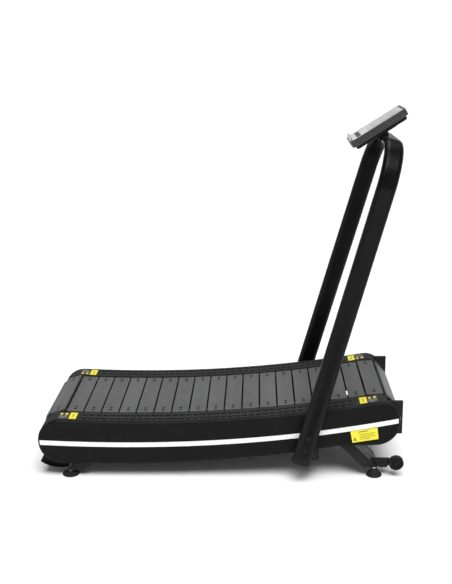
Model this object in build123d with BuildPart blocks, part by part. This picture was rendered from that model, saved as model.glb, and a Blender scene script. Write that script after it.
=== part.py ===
"""Curved manual treadmill: a slat belt on two drums, between side beams, with a tall hoop and console.

+X points to the front, where the hoop and the console stand, and +Z points up. The right-hand
side is at -Y. The origin is on the floor, midway along the machine and midway across it.
"""

import os
from math import atan, atan2, cos, degrees, hypot, radians, sin, sqrt

from build123d import *

os.makedirs("parts", exist_ok=True)

# ---- driving dimensions, in millimetres ----
half_length = 813.0

# Drums and slat belt.
rear_axis_x, rear_axis_z = -720.0, 187.0
front_axis_x, front_axis_z = 697.0, 262.0
rear_path_r, front_path_r = 78.0, 85.6
deck_r = 6400.0
return_r = 8400.0
slat_pitch = 80.0
slat_width = 73.0
slat_half_length = 216.0
slat_thickness = 8.0
slat_lift = 0.12
slat_rib_half_length = 150.0
slat_rib_height = 15.0
slat_rib_thickness = 5.0
slat_rib_spacing = 44.0
slat_shift = 8.0
slat_screw_y = (172.0, 196.0)
belt_inner_y, belt_width, belt_thickness = 170.0, 36.0, 6.0
running_gap = 0.4

# Side covers and foot rails share one outline, seen from the side.
cover_inner_y, cover_width = 322.0, 14.0
cover_wall, cover_rim = 5.0, 8.0
cover_edge_r = 13.0
cover_front_x = 792.0
cover_base_x, cover_base_z, cover_base_r = -480.0, 60.5, 5700.0
cover_base_end_x = 540.0
cover_front_base_z = 155.0
foot_rail_inner_y, foot_rail_outer_y = 235.0, 321.5
foot_rail_thickness = 4.0
foot_rail_skirt = 24.0

# Side beams.
beam_inner_y, beam_width, beam_wall = 250.0, 50.0, 3.0
beam_front_x, beam_front_top_z, beam_front_bottom_z = 804.0, 349.7, 199.0
beam_rear_x, beam_rear_bottom_z = -770.0, 114.0
beam_drop = 22.0

# Hoop: two oval tubes that lean forward and slightly inward, and a top bar between them.
hoop_lean = degrees(atan(0.283))
hoop_foot_x = 328.7
hoop_foot_y = 379.4
hoop_inward = 0.0378
tube_width, tube_depth, tube_wall = 82.0, 40.0, 2.5
hoop_base_z = 111.0
hoop_top_z = 1456.0
hoop_bend_r = 185.0
bar_seam_y = 138.0
upper_bolt_z, lower_bolt_z = 209.0, 150.0
bolt_r = 6.0
fit_gap = 0.05

# Legs and feet.
leg_inner_y, leg_width, leg_wall = 222.0, 96.0, 3.0
leg_run = 65.0
wing_inner_y, wing_top_z = 152.0, 134.0
front_leg_x, front_leg_z = 635.0, 43.0
rear_leg_x, rear_leg_z = -628.0, 24.0
foot_y = 305.0
front_foot_x, rear_foot_x = 685.0, -677.0
foot_boss_r, foot_boss_height = 11.0, 10.0
front_pad_r, rear_pad_r = 35.0, 38.0
stud_r = 6.0
lock_nut_height = 8.0

# Transport wheels.
wheel_r, wheel_width = 33.0, 22.0
wheel_x, wheel_z = half_length - wheel_r, 65.0
wheel_inner_y = 306.0

# Console.
console_x, console_z = 689.3, 1513.5
console_tilt = 32.0
console_length, console_width, console_thickness = 272.0, 190.0, 30.0

sides = (1, -1)


# ---- helpers ----
def save(part, node):
    """Label one finished piece and write it to its own file."""
    part.label = node
    export_step(part, f"parts/{node}.step")


def save_pair(part, node):
    """Write a right-hand piece and its mirror image on the left."""
    save(part, f"{node}_right")
    save(mirror(part, about=Plane.XZ), f"{node}_left")


def right_plane(inner_y):
    """A side-view sketch plane whose extrusion grows outward on the right from inner_y."""
    return Plane.XZ.offset(inner_y)


def polar(centre, radius, angle):
    """The point at a radius and an angle, in degrees, round a centre."""
    return centre[0] + radius * cos(radians(angle)), centre[1] + radius * sin(radians(angle))


def arc_about(centre, radius, start, end):
    """An arc round a centre from one angle to another."""
    middle = polar(centre, radius, (start + end) / 2)
    return ThreePointArc(polar(centre, radius, start), middle, polar(centre, radius, end))


def centre_above(rear_distance, front_distance):
    """The point above both drum axes at a given distance from each."""
    span_x = front_axis_x - rear_axis_x
    span_z = front_axis_z - rear_axis_z
    span = hypot(span_x, span_z)
    along = (rear_distance**2 - front_distance**2 + span**2) / (2 * span)
    height = sqrt(rear_distance**2 - along**2)
    x = rear_axis_x + (along * span_x - height * span_z) / span
    z = rear_axis_z + (along * span_z + height * span_x) / span
    return x, z


rear_axis = (rear_axis_x, rear_axis_z)
front_axis = (front_axis_x, front_axis_z)
deck_centre = centre_above(deck_r + rear_path_r, deck_r + front_path_r)
return_centre = centre_above(return_r - rear_path_r, return_r - front_path_r)


def angle_from(centre, point):
    """The direction, in degrees, from a centre to a point."""
    return degrees(atan2(point[1] - centre[1], point[0] - centre[0]))


def loop_edges(outward):
    """The closed path of the belt, moved outward, from the front drum's crest to the rear."""
    deck_front = angle_from(deck_centre, front_axis)
    deck_rear = angle_from(deck_centre, rear_axis)
    return_front = angle_from(return_centre, front_axis)
    return_rear = angle_from(return_centre, rear_axis)
    arc_about(front_axis, front_path_r + outward, 90, deck_front + 180)
    arc_about(deck_centre, deck_r - outward, deck_front, deck_rear)
    arc_about(rear_axis, rear_path_r + outward, deck_rear + 180, return_rear + 360)
    arc_about(return_centre, return_r + outward, return_rear, return_front)
    arc_about(front_axis, front_path_r + outward, return_front, 90)


def deck_z(x, below=0.0):
    """Height of the running surface at x, or of a curve a given distance below it."""
    radius = deck_r - slat_thickness - slat_lift + below
    return deck_centre[1] - sqrt(radius**2 - (x - deck_centre[0]) ** 2)


def deck_arc(start_x, end_x, below=0.0):
    """An arc that runs parallel to the running surface, from one x to another."""
    middle_x = (start_x + end_x) / 2
    return ThreePointArc(
        (start_x, deck_z(start_x, below)),
        (middle_x, deck_z(middle_x, below)),
        (end_x, deck_z(end_x, below)),
    )


# ---- slat belt ----
with BuildLine(Plane.XZ) as belt_path:
    loop_edges(0)
path = belt_path.wire()
slat_count = round(path.length / slat_pitch)
slat_places = []
for index in range(slat_count):
    place = (index / slat_count - slat_shift / path.length) % 1
    point = path.position_at(place)
    along = path.tangent_at(place)
    outward = Vector(0, 1, 0).cross(along)
    slat_places.append(Plane(origin=point, x_dir=along, z_dir=outward))
screw_spots = [(0, y * s) for y in slat_screw_y for s in sides]

with BuildPart() as slat:
    with BuildSketch(Plane.XY.offset(slat_lift)):
        Rectangle(slat_width, 2 * slat_half_length)
    extrude(amount=slat_thickness)
    chamfer(slat.faces().sort_by(Axis.Z)[-1].edges(), length=1.2)
    with BuildSketch(Plane.XY.offset(slat_lift)):
        with Locations((-slat_rib_spacing / 2, 0), (slat_rib_spacing / 2, 0)):
            Rectangle(slat_rib_thickness, 2 * slat_rib_half_length)
    extrude(amount=-slat_rib_height)
    with Locations(*[(x, y, slat_lift + slat_thickness) for x, y in screw_spots]):
        CounterBoreHole(radius=3.2, counter_bore_radius=7.0, counter_bore_depth=3.0)

with BuildPart() as slat_screw:
    with BuildSketch(Plane.XY.offset(slat_lift)):
        Circle(3.1)
    extrude(amount=slat_thickness - 3.0)
    with BuildSketch(Plane.XY.offset(slat_lift + slat_thickness - 3.0)):
        Circle(6.7)
    extrude(amount=2.4)

with BuildPart() as belt_slats:
    with Locations(*slat_places):
        add(slat.part)
save(belt_slats.part, "belt_slats")

with BuildPart() as slat_screws:
    with Locations(*slat_places):
        with Locations(*screw_spots):
            add(slat_screw.part)
save(slat_screws.part, "slat_screws")

with BuildPart() as drive_belt:
    with BuildSketch(right_plane(belt_inner_y)):
        with BuildLine():
            loop_edges(0)
        make_face()
        with BuildLine():
            loop_edges(-belt_thickness)
        make_face(mode=Mode.SUBTRACT)
    extrude(amount=belt_width)
save_pair(drive_belt.part, "drive_belt")


# ---- drums: a welded roller and its two belt pulleys ----
journal_r, journal_end_y = 15.0, 246.0
roller_r, roller_half_length = 42.0, 150.0
bearing_inner_y = 226.0


def across_plane(x, z, y):
    """A plane square to the drum axes at one x, z and y, with its normal to the right."""
    return Plane(origin=(x, y, z), x_dir=(1, 0, 0), z_dir=(0, -1, 0))


def roller(x, z):
    """A shaft with a tube round its middle, closed by two end discs."""
    with BuildPart() as drum:
        with BuildSketch(across_plane(x, z, journal_end_y)):
            Circle(journal_r)
        extrude(amount=2 * journal_end_y)
        with BuildSketch(across_plane(x, z, roller_half_length)):
            Circle(roller_r)
            Circle(roller_r - 3, mode=Mode.SUBTRACT)
        extrude(amount=2 * roller_half_length)
        for start in (roller_half_length, -roller_half_length + 6):
            with BuildSketch(across_plane(x, z, start)):
                Circle(roller_r)
            extrude(amount=6)
    return drum.part


def pulleys(x, z, radius):
    """Two flat-faced belt pulleys with round windows, one near each end of the roller."""
    with BuildPart() as pair:
        for start in (belt_inner_y + belt_width, -belt_inner_y):
            with BuildSketch(across_plane(x, z, start)):
                Circle(radius)
                Circle(journal_r + 0.02, mode=Mode.SUBTRACT)
                with PolarLocations((radius + journal_r) / 2, 6):
                    Circle(radius / 6, mode=Mode.SUBTRACT)
            extrude(amount=belt_width)
    return pair.part


def drum_bearings(x, z):
    """Two bearing blocks on the inner faces of the side beams."""
    with BuildPart() as blocks:
        for start in (beam_inner_y, -bearing_inner_y):
            with BuildSketch(across_plane(x, z, start)):
                RectangleRounded(78, 86, 12)
                Circle(journal_r + fit_gap, mode=Mode.SUBTRACT)
            extrude(amount=beam_inner_y - bearing_inner_y)
    return blocks.part


for end, axis, path_r in (("front", front_axis, front_path_r), ("rear", rear_axis, rear_path_r)):
    save(roller(*axis), f"{end}_roller")
    save(pulleys(*axis, path_r - belt_thickness - running_gap), f"{end}_pulleys")
    save(drum_bearings(*axis), f"{end}_drum_bearings")


# ---- curved track under the belt ----
track_bearing_r, track_stud_r = 16.0, 6.0
track_bearing_count = 15
track_end_x = 560.0
track_inner_y, track_plate = 207.0, 6.0
track_depth = slat_thickness + slat_lift + belt_thickness
bearing_drop = track_depth + track_bearing_r
track_step = 2 * track_end_x / (track_bearing_count - 1)
bearing_xs = [index * track_step - track_end_x for index in range(track_bearing_count)]
bearing_spots = [(x, deck_z(x, bearing_drop + 0.1)) for x in bearing_xs]
track_bottom = 56.0
cross_member_xs = (-430.0, 0.0, 430.0)

with BuildPart() as track_rail:
    with BuildSketch(right_plane(track_inner_y)):
        with BuildLine():
            top = deck_arc(-track_end_x - 20, track_end_x + 20, 20)
            low = deck_arc(-track_end_x - 20, track_end_x + 20, track_bottom)
            Line(top @ 0, low @ 0)
            Line(top @ 1, low @ 1)
        make_face()
        with Locations(*bearing_spots):
            Circle(track_stud_r + fit_gap, mode=Mode.SUBTRACT)
    extrude(amount=track_plate)
save_pair(track_rail.part, "track_rail")

with BuildPart() as track_bearings:
    with BuildSketch(right_plane(181)):
        with Locations(*bearing_spots):
            Circle(track_bearing_r)
            Circle(track_stud_r + fit_gap, mode=Mode.SUBTRACT)
    extrude(amount=14)
save_pair(track_bearings.part, "track_bearings")

with BuildPart() as track_studs:
    with BuildSketch(right_plane(179)):
        with Locations(*bearing_spots):
            Circle(track_stud_r)
    extrude(amount=track_inner_y + track_plate - 179)
    with BuildSketch(right_plane(track_inner_y + track_plate)):
        with Locations(*bearing_spots):
            RegularPolygon(9, 6)
    extrude(amount=5)
    mirror(about=Plane.XZ)
save(track_studs.part, "track_studs")

with BuildPart() as cross_members:
    for x in cross_member_xs:
        top_z = min(deck_z(x - 25, track_bottom), deck_z(x + 25, track_bottom)) - 0.05
        with BuildSketch(across_plane(x, top_z - 20, beam_inner_y)):
            RectangleRounded(50, 40, 5)
            RectangleRounded(45, 35, 3, mode=Mode.SUBTRACT)
        extrude(amount=2 * beam_inner_y)
save(cross_members.part, "cross_members")


# ---- side covers and foot rails ----
def base_z(x):
    """Height of the cover's curved lower edge at x."""
    drop = sqrt(cover_base_r**2 - (x - cover_base_x) ** 2)
    return cover_base_z + cover_base_r - drop


# Each corner is picked by its end of the outline, 0 rear and -1 front, then 0 low and -1 high.
cover_corners = ((0, 0, 104.0), (0, -1, 100.0), (-1, 0, 108.0), (-1, -1, 88.0))
with BuildSketch() as cover_outline:
    with BuildLine():
        deck_edge = deck_arc(-half_length, cover_front_x)
        mid_x = (cover_base_end_x - half_length) / 2
        base_edge = ThreePointArc(
            (-half_length, base_z(-half_length)),
            (mid_x, base_z(mid_x)),
            (cover_base_end_x, base_z(cover_base_end_x)),
        )
        front_base = Line(base_edge @ 1, (cover_front_x, cover_front_base_z))
        Line(deck_edge @ 0, base_edge @ 0)
        Line(deck_edge @ 1, front_base @ 1)
    make_face()
    for end, corner, radius in cover_corners:
        end_points = cover_outline.vertices().group_by(Axis.X)[end].sort_by(Axis.Y)
        fillet(end_points[corner], radius=radius)

boss_spots = [(-640, 170), (-330, 165), (0, 180), (230, 200), (560, 260)]

with BuildPart() as side_cover:
    with BuildSketch(right_plane(cover_inner_y)):
        add(cover_outline.sketch)
    extrude(amount=cover_width)
    fillet(side_cover.faces().sort_by(Axis.Y)[0].edges(), radius=cover_edge_r)
    with BuildSketch(right_plane(cover_inner_y)):
        add(cover_outline.sketch)
        offset(amount=-cover_rim, mode=Mode.REPLACE)
    extrude(amount=cover_width - cover_wall, mode=Mode.SUBTRACT)
    with BuildSketch(right_plane(beam_inner_y + beam_width)):
        with Locations(*boss_spots):
            Circle(12)
    extrude(amount=cover_inner_y + cover_width - cover_wall - beam_inner_y - beam_width)
save_pair(side_cover.part, "side_cover")

rail_stop_z = 196.0
front_stop_z = 276.0
with BuildSketch() as upper_band:
    with BuildLine():
        Polyline(
            (-900, rail_stop_z),
            (-600, 200),
            (600, 280),
            (700, front_stop_z),
            (900, front_stop_z),
            (900, 500),
            (-900, 500),
            close=True,
        )
    make_face()


def rail_strip(thickness):
    """The part of the outline's edge above the band's lower line, of one thickness."""
    inner_outline = offset(cover_outline.sketch, amount=-thickness)
    with BuildSketch() as strip:
        add(cover_outline.sketch)
        add(inner_outline, mode=Mode.SUBTRACT)
        add(upper_band.sketch, mode=Mode.INTERSECT)
    return strip.sketch


tread_strip = rail_strip(foot_rail_thickness)
skirt_strip = rail_strip(foot_rail_skirt)
with BuildPart() as foot_rail:
    with BuildSketch(right_plane(foot_rail_inner_y)):
        add(tread_strip)
    extrude(amount=foot_rail_outer_y - foot_rail_inner_y)
    with BuildSketch(right_plane(foot_rail_inner_y)):
        add(skirt_strip)
    extrude(amount=3)
    with BuildSketch(right_plane(beam_inner_y - 2)):
        with Locations((beam_front_x, beam_front_top_z - 50)):
            Rectangle(180, 104)
    extrude(amount=beam_width + 4, mode=Mode.SUBTRACT)
save_pair(foot_rail.part, "foot_rail")


# ---- side beams ----
with BuildSketch() as beam_outline:
    with BuildLine():
        beam_top = deck_arc(-690, 610, beam_drop)
        Polyline(
            beam_top @ 1,
            (712, beam_front_top_z),
            (beam_front_x, beam_front_top_z),
            (beam_front_x, beam_front_bottom_z),
            (beam_rear_x, beam_rear_bottom_z),
            (beam_rear_x, 228),
            beam_top @ 0,
        )
    make_face()


def beam_portion(start_x, end_x):
    """The part of the beam's side view between two x positions."""
    with BuildSketch() as portion:
        add(beam_outline.sketch)
        with Locations(((start_x + end_x) / 2, beam_front_top_z)):
            Rectangle(end_x - start_x, 2 * beam_front_top_z, mode=Mode.INTERSECT)
    return portion.sketch


# Ahead of the front bearings the beam narrows to a thin nose along its outer side.
nose_start_x, nose_inner_y = 738.0, 284.0
beam_portions = (
    (beam_portion(beam_rear_x, nose_start_x), beam_inner_y),
    (beam_portion(nose_start_x - beam_wall, beam_front_x), nose_inner_y),
)
beam_outer_y = beam_inner_y + beam_width
with BuildPart() as side_beam:
    for portion, inner_y in beam_portions:
        with BuildSketch(right_plane(inner_y)):
            add(portion)
        extrude(amount=beam_outer_y - inner_y)
    for portion, inner_y in beam_portions:
        with BuildSketch(right_plane(inner_y + beam_wall)):
            add(portion)
            offset(amount=-beam_wall, mode=Mode.REPLACE)
        extrude(amount=beam_outer_y - inner_y - 2 * beam_wall, mode=Mode.SUBTRACT)
save_pair(side_beam.part, "side_beam")


def beam_bottom_z(x):
    """Height of the side beam's straight lower edge at x."""
    rise = (beam_front_bottom_z - beam_rear_bottom_z) / (beam_front_x - beam_rear_x)
    return beam_rear_bottom_z + rise * (x - beam_rear_x)


# ---- pan under the returning belt ----
pan_gap, pan_sheet, pan_wall_lap = 6.0, 2.0, 14.0
pan_rear_x, pan_front_x, pan_narrow_half = -655.0, 636.0, 220.0
pan_wide_rear_x, pan_wide_front_x = -505.0, 465.0
pan_top_r = return_r + slat_lift + slat_thickness + pan_gap
pan_bottom_r = pan_top_r + pan_sheet


def pan_z(x, radius):
    """Height of one of the pan's two curved skins at x."""
    return return_centre[1] - sqrt(radius**2 - (x - return_centre[0]) ** 2)


def pan_arc(start_x, end_x, radius):
    """One of the pan's skins in side view, from one x to another."""
    middle_x = (start_x + end_x) / 2
    return ThreePointArc(*[(x, pan_z(x, radius)) for x in (start_x, middle_x, end_x)])


def pan_strip(start_x, end_x):
    """The pan's sheet in side view, from one x to another."""
    with BuildSketch() as strip:
        with BuildLine():
            upper = pan_arc(start_x, end_x, pan_top_r)
            lower = pan_arc(start_x, end_x, pan_bottom_r)
            Line(upper @ 0, lower @ 0)
            Line(upper @ 1, lower @ 1)
        make_face()
    return strip.sketch


with BuildPart() as belly_pan:
    with BuildSketch(right_plane(0)):
        add(pan_strip(pan_rear_x, pan_front_x))
    extrude(amount=pan_narrow_half, both=True)
    with BuildSketch(right_plane(0)):
        add(pan_strip(pan_wide_rear_x, pan_wide_front_x))
    extrude(amount=beam_inner_y, both=True)
    for start in (beam_inner_y - pan_sheet, -beam_inner_y):
        with BuildSketch(Plane.XZ.offset(start)):
            with BuildLine():
                wall_base = pan_arc(pan_wide_rear_x, pan_wide_front_x, pan_bottom_r)
                Polyline(
                    wall_base @ 1,
                    (pan_wide_front_x, beam_bottom_z(pan_wide_front_x) + pan_wall_lap),
                    (pan_wide_rear_x, beam_bottom_z(pan_wide_rear_x) + pan_wall_lap),
                    wall_base @ 0,
                )
            make_face()
        extrude(amount=pan_sheet)
save(belly_pan.part, "belly_pan")


# ---- legs ----
def beam_meeting(x, z, direction):
    """Where a line rising at 45 degrees from (x, z) meets the side beam's lower edge."""
    rise = (beam_front_bottom_z - beam_rear_bottom_z) / (beam_front_x - beam_rear_x)
    start = beam_rear_bottom_z + rise * (x + direction * z - beam_rear_x)
    top_z = start / (1 + rise * direction)
    return x - direction * (top_z - z), top_z


def leg(foot_x, foot_z, direction, screw_x):
    """A box-section leg, leaning at 45 degrees up to the side beam, with a boss for its foot."""
    far_x = foot_x + leg_run * direction
    with BuildSketch() as outline:
        with BuildLine():
            Polyline(
                (foot_x, foot_z),
                (far_x, foot_z),
                beam_meeting(far_x, foot_z, direction),
                beam_meeting(foot_x, foot_z, direction),
                close=True,
            )
        make_face()
    with BuildPart() as one_leg:
        with BuildSketch(right_plane(leg_inner_y)):
            add(outline.sketch)
        extrude(amount=leg_width)
        with BuildSketch(right_plane(leg_inner_y + leg_wall)):
            add(outline.sketch)
            offset(amount=-leg_wall, mode=Mode.REPLACE)
        extrude(amount=leg_width - 2 * leg_wall, mode=Mode.SUBTRACT)
        with BuildSketch(Plane.XY.offset(foot_z)):
            with Locations((screw_x, -foot_y)):
                Circle(foot_boss_r)
        extrude(amount=foot_boss_height)
        with BuildSketch(Plane.XY.offset(foot_z)):
            with Locations((screw_x, -foot_y)):
                Circle(stud_r + fit_gap)
        extrude(amount=foot_boss_height, mode=Mode.SUBTRACT)
    return one_leg.part


# The front legs carry a lower wing that reaches inward under the belt.
wing_rise = wing_top_z - front_leg_z
with BuildSketch() as wing_outline:
    with BuildLine():
        Polyline(
            (front_leg_x, front_leg_z),
            (front_leg_x + leg_run, front_leg_z),
            (front_leg_x + leg_run - wing_rise, wing_top_z),
            (front_leg_x - wing_rise, wing_top_z),
            close=True,
        )
    make_face()

with BuildPart() as front_leg:
    add(leg(front_leg_x, front_leg_z, 1, front_foot_x))
    with BuildSketch(right_plane(wing_inner_y)):
        add(wing_outline.sketch)
    extrude(amount=leg_inner_y - wing_inner_y)
    with BuildSketch(right_plane(wing_inner_y + leg_wall)):
        add(wing_outline.sketch)
        offset(amount=-leg_wall, mode=Mode.REPLACE)
    extrude(amount=leg_inner_y - wing_inner_y - leg_wall, mode=Mode.SUBTRACT)
save_pair(front_leg.part, "front_leg")

gusset_thickness = 6.0
with BuildPart() as rear_leg:
    add(leg(rear_leg_x, rear_leg_z, -1, rear_foot_x))
    with BuildSketch(right_plane(leg_inner_y + leg_width - gusset_thickness)):
        with BuildLine():
            gusset_edge = ThreePointArc(
                (rear_leg_x - 8, rear_leg_z),
                (rear_leg_x + 26, rear_leg_z + 9),
                (rear_leg_x + 54, rear_leg_z + 44),
            )
            Polyline(gusset_edge @ 1, (rear_leg_x + 24, rear_leg_z + 44), gusset_edge @ 0)
        make_face()
    extrude(amount=gusset_thickness)
save_pair(rear_leg.part, "rear_leg")


# ---- levelling feet ----
pad_floor = 5.0


def foot_pad(x, y, radius, height):
    """A rubber cone with a rounded skirt and a blind hole for its stud."""
    hole_r = stud_r + fit_gap
    with BuildPart() as pad:
        with BuildSketch(Plane(origin=(x, y, 0), x_dir=(1, 0, 0), z_dir=(0, -1, 0))):
            with BuildLine():
                Polyline((hole_r, height), (hole_r, pad_floor), (0, pad_floor), (0, 0), (radius - 5, 0))
                ThreePointArc((radius - 5, 0), (radius, 5), (radius - 2, 9))
                Polyline((radius - 2, 9), (stud_r + 5, height), (hole_r, height))
            make_face()
        revolve(axis=Axis((x, y, 0), (0, 0, 1)))
    return pad.part


def foot_stud(x, y, top_z):
    """A steel stud that stands in its pad and screws into the leg."""
    with BuildPart() as stud:
        with BuildSketch(Plane.XY.offset(pad_floor)):
            with Locations((x, y)):
                Circle(stud_r)
        extrude(amount=top_z - pad_floor)
        chamfer(stud.faces().sort_by(Axis.Z)[-1].edges(), length=1)
    return stud.part


foot_ends = (
    ("front", front_foot_x, front_leg_z, front_pad_r),
    ("rear", rear_foot_x, rear_leg_z, rear_pad_r),
)
for end, x, leg_z, pad_r in foot_ends:
    pad_top = leg_z - lock_nut_height - 0.5
    save_pair(foot_pad(x, -foot_y, pad_r, pad_top), f"{end}_foot_pad")
    save_pair(foot_stud(x, -foot_y, leg_z + foot_boss_height), f"{end}_foot_stud")

with BuildPart() as foot_lock_nuts:
    for _, x, leg_z, _ in foot_ends:
        with BuildSketch(Plane.XY.offset(leg_z - lock_nut_height)):
            with Locations((x, -foot_y)):
                RegularPolygon(10, 6)
                Circle(stud_r + fit_gap, mode=Mode.SUBTRACT)
        extrude(amount=lock_nut_height)
    mirror(about=Plane.XZ)
save(foot_lock_nuts.part, "foot_lock_nuts")


# ---- guard under the rear drum ----
guard_r, guard_sheet, guard_half_width = 149.0, 3.0, 318.0
guard_start, guard_end = 233, 284


def guard_sector(inner_r):
    """The guard's side view, from an inner radius out to its skin."""
    with BuildSketch() as sector:
        with BuildLine():
            outer = arc_about(rear_axis, guard_r, guard_start, guard_end)
            inner = arc_about(rear_axis, inner_r, guard_start, guard_end)
            Line(outer @ 0, inner @ 0)
            Line(outer @ 1, inner @ 1)
        make_face()
    return sector.sketch


with BuildPart() as rear_guard:
    with BuildSketch(Plane.XZ.offset(-guard_half_width)):
        add(guard_sector(guard_r - guard_sheet))
    extrude(amount=2 * guard_half_width)
    for start in (beam_inner_y + beam_width, -beam_inner_y - beam_width - 3):
        with BuildSketch(Plane.XZ.offset(start)):
            add(guard_sector(62))
        extrude(amount=3)
save(rear_guard.part, "rear_guard")


# ---- cross tube and plates that carry the hoop ----
cross_tube_x, cross_tube_z = 405.0, 108.0
cross_tube_width, cross_tube_height, cross_tube_wall = 60.0, 30.0, 3.0
plate_inner_y, plate_thickness = 343.5, 6.0
plate_outer_y = plate_inner_y + plate_thickness


def hoop_x(z):
    """The hoop's centre line at height z, seen from the side."""
    return hoop_foot_x + z * sin(radians(hoop_lean)) / cos(radians(hoop_lean))


def hoop_y(z):
    """The tube centre's distance from the machine's middle plane at height z."""
    return hoop_foot_y - hoop_inward * z / cos(radians(hoop_lean))


bolt_spots = [(hoop_x(z), z) for z in (upper_bolt_z, lower_bolt_z)]

with BuildPart() as hoop_cross_tube:
    with BuildSketch(across_plane(cross_tube_x, cross_tube_z, plate_inner_y)):
        RectangleRounded(cross_tube_width, cross_tube_height, 5)
        offset(amount=-cross_tube_wall, mode=Mode.SUBTRACT)
    extrude(amount=2 * plate_inner_y)
    for start in (beam_inner_y + 10, -beam_inner_y - beam_width + 10):
        with BuildSketch(Plane.XZ.offset(start)):
            with BuildLine():
                Polyline(
                    (cross_tube_x - 25, cross_tube_z + 14),
                    (cross_tube_x + 25, cross_tube_z + 14),
                    (cross_tube_x + 25, beam_bottom_z(cross_tube_x + 25)),
                    (cross_tube_x - 25, beam_bottom_z(cross_tube_x - 25)),
                    close=True,
                )
            make_face()
        extrude(amount=30)
save(hoop_cross_tube.part, "hoop_cross_tube")

with BuildPart() as hoop_plate:
    with BuildSketch(right_plane(plate_inner_y)):
        with Locations(*bolt_spots):
            Circle(27)
        with Locations((cross_tube_x, cross_tube_z + 8)):
            Circle(26)
        make_hull()
        with Locations(*bolt_spots):
            Circle(bolt_r + fit_gap, mode=Mode.SUBTRACT)
    extrude(amount=plate_thickness)
save_pair(hoop_plate.part, "hoop_plate")


# ---- hoop ----
lean_sin, lean_cos = sin(radians(hoop_lean)), cos(radians(hoop_lean))
hoop_plane = Plane(
    origin=(hoop_foot_x, 0, 0), x_dir=(0, 1, 0), z_dir=(lean_cos, 0, -lean_sin)
)
base_along, top_along = hoop_base_z / lean_cos, hoop_top_z / lean_cos
base_y = hoop_foot_y - hoop_inward * base_along
corner_y = hoop_foot_y - hoop_inward * top_along
head_r, head_depth = 11.0, 6.0

with BuildLine(hoop_plane) as hoop_path:
    FilletPolyline(
        (-base_y, base_along),
        (-corner_y, top_along),
        (-bar_seam_y, top_along),
        radius=hoop_bend_r,
    )
base_plane = Plane(
    origin=hoop_path.line @ 0, x_dir=hoop_plane.z_dir, z_dir=hoop_path.line % 0
)

with BuildPart() as upright:
    with BuildSketch(base_plane):
        SlotOverall(tube_width, tube_depth)
    sweep(path=hoop_path.line)
    with BuildSketch(base_plane):
        SlotOverall(tube_width - 2 * tube_wall, tube_depth - 2 * tube_wall)
    sweep(path=hoop_path.line, mode=Mode.SUBTRACT)
    for x, z in bolt_spots:
        inner_face = hoop_y(z) - tube_depth / 2
        with BuildSketch(right_plane(plate_outer_y)):
            with Locations((x, z)):
                Circle(head_r + 3)
        extrude(amount=inner_face + tube_depth - tube_wall / 2 - plate_outer_y)
        with BuildSketch(right_plane(plate_outer_y)):
            with Locations((x, z)):
                Circle(bolt_r + fit_gap)
        extrude(amount=tube_depth + head_depth, mode=Mode.SUBTRACT)
        with BuildSketch(right_plane(inner_face + tube_depth - head_depth)):
            with Locations((x, z)):
                Circle(head_r)
        extrude(amount=head_depth + 3, mode=Mode.SUBTRACT)
save_pair(upright.part, "upright")

plug_width = tube_width - 2 * tube_wall - 4 * fit_gap
plug_depth = tube_depth - 2 * tube_wall - 4 * fit_gap
with BuildPart() as upright_cap:
    with BuildSketch(base_plane):
        SlotOverall(tube_width + 2, tube_depth + 2)
    extrude(amount=-30)
    fillet(upright_cap.faces().sort_by(Axis.Z)[0].edges(), radius=18)
    with BuildSketch(base_plane):
        SlotOverall(plug_width, plug_depth)
    extrude(amount=16)
save_pair(upright_cap.part, "upright_cap")

nut_thickness = 6.5
with BuildPart() as upright_bolts:
    for x, z in bolt_spots:
        head_seat = hoop_y(z) + tube_depth / 2 - head_depth
        with BuildSketch(right_plane(plate_inner_y - nut_thickness)):
            with Locations((x, z)):
                RegularPolygon(10, 6)
        extrude(amount=nut_thickness)
        with BuildSketch(right_plane(plate_inner_y)):
            with Locations((x, z)):
                Circle(bolt_r)
        extrude(amount=head_seat - plate_inner_y)
        with BuildSketch(right_plane(head_seat)):
            with Locations((x, z)):
                Circle(head_r - 1.2)
                RegularPolygon(4, 6, mode=Mode.SUBTRACT)
        extrude(amount=head_depth - 1)
        with BuildSketch(right_plane(head_seat)):
            with Locations((x, z)):
                RegularPolygon(4.5, 6)
        extrude(amount=2)
    mirror(about=Plane.XZ)
save(upright_bolts.part, "upright_bolts")

bar_plane = Plane(
    origin=(hoop_x(hoop_top_z), -bar_seam_y, hoop_top_z),
    x_dir=hoop_plane.z_dir,
    z_dir=(0, 1, 0),
)
with BuildPart() as top_bar:
    with BuildSketch(bar_plane):
        SlotOverall(tube_width, tube_depth)
        SlotOverall(tube_width - 2 * tube_wall, tube_depth - 2 * tube_wall, mode=Mode.SUBTRACT)
    extrude(amount=2 * bar_seam_y)
save(top_bar.part, "top_bar")


# ---- console ----
tilt_sin, tilt_cos = sin(radians(console_tilt)), cos(radians(console_tilt))


def console_plane(height):
    """A plane parallel to the console's face, with x up the slope, at a height from its middle."""
    origin = (console_x - tilt_sin * height, 0, console_z + tilt_cos * height)
    return Plane(origin=origin, x_dir=(tilt_cos, 0, tilt_sin), z_dir=(-tilt_sin, 0, tilt_cos))


def console_side(y):
    """A side-view plane in the console's own directions, whose extrusion grows to the right."""
    return Plane(
        origin=(console_x, -y, console_z), x_dir=(tilt_cos, 0, tilt_sin), z_dir=(0, -1, 0)
    )


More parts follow.
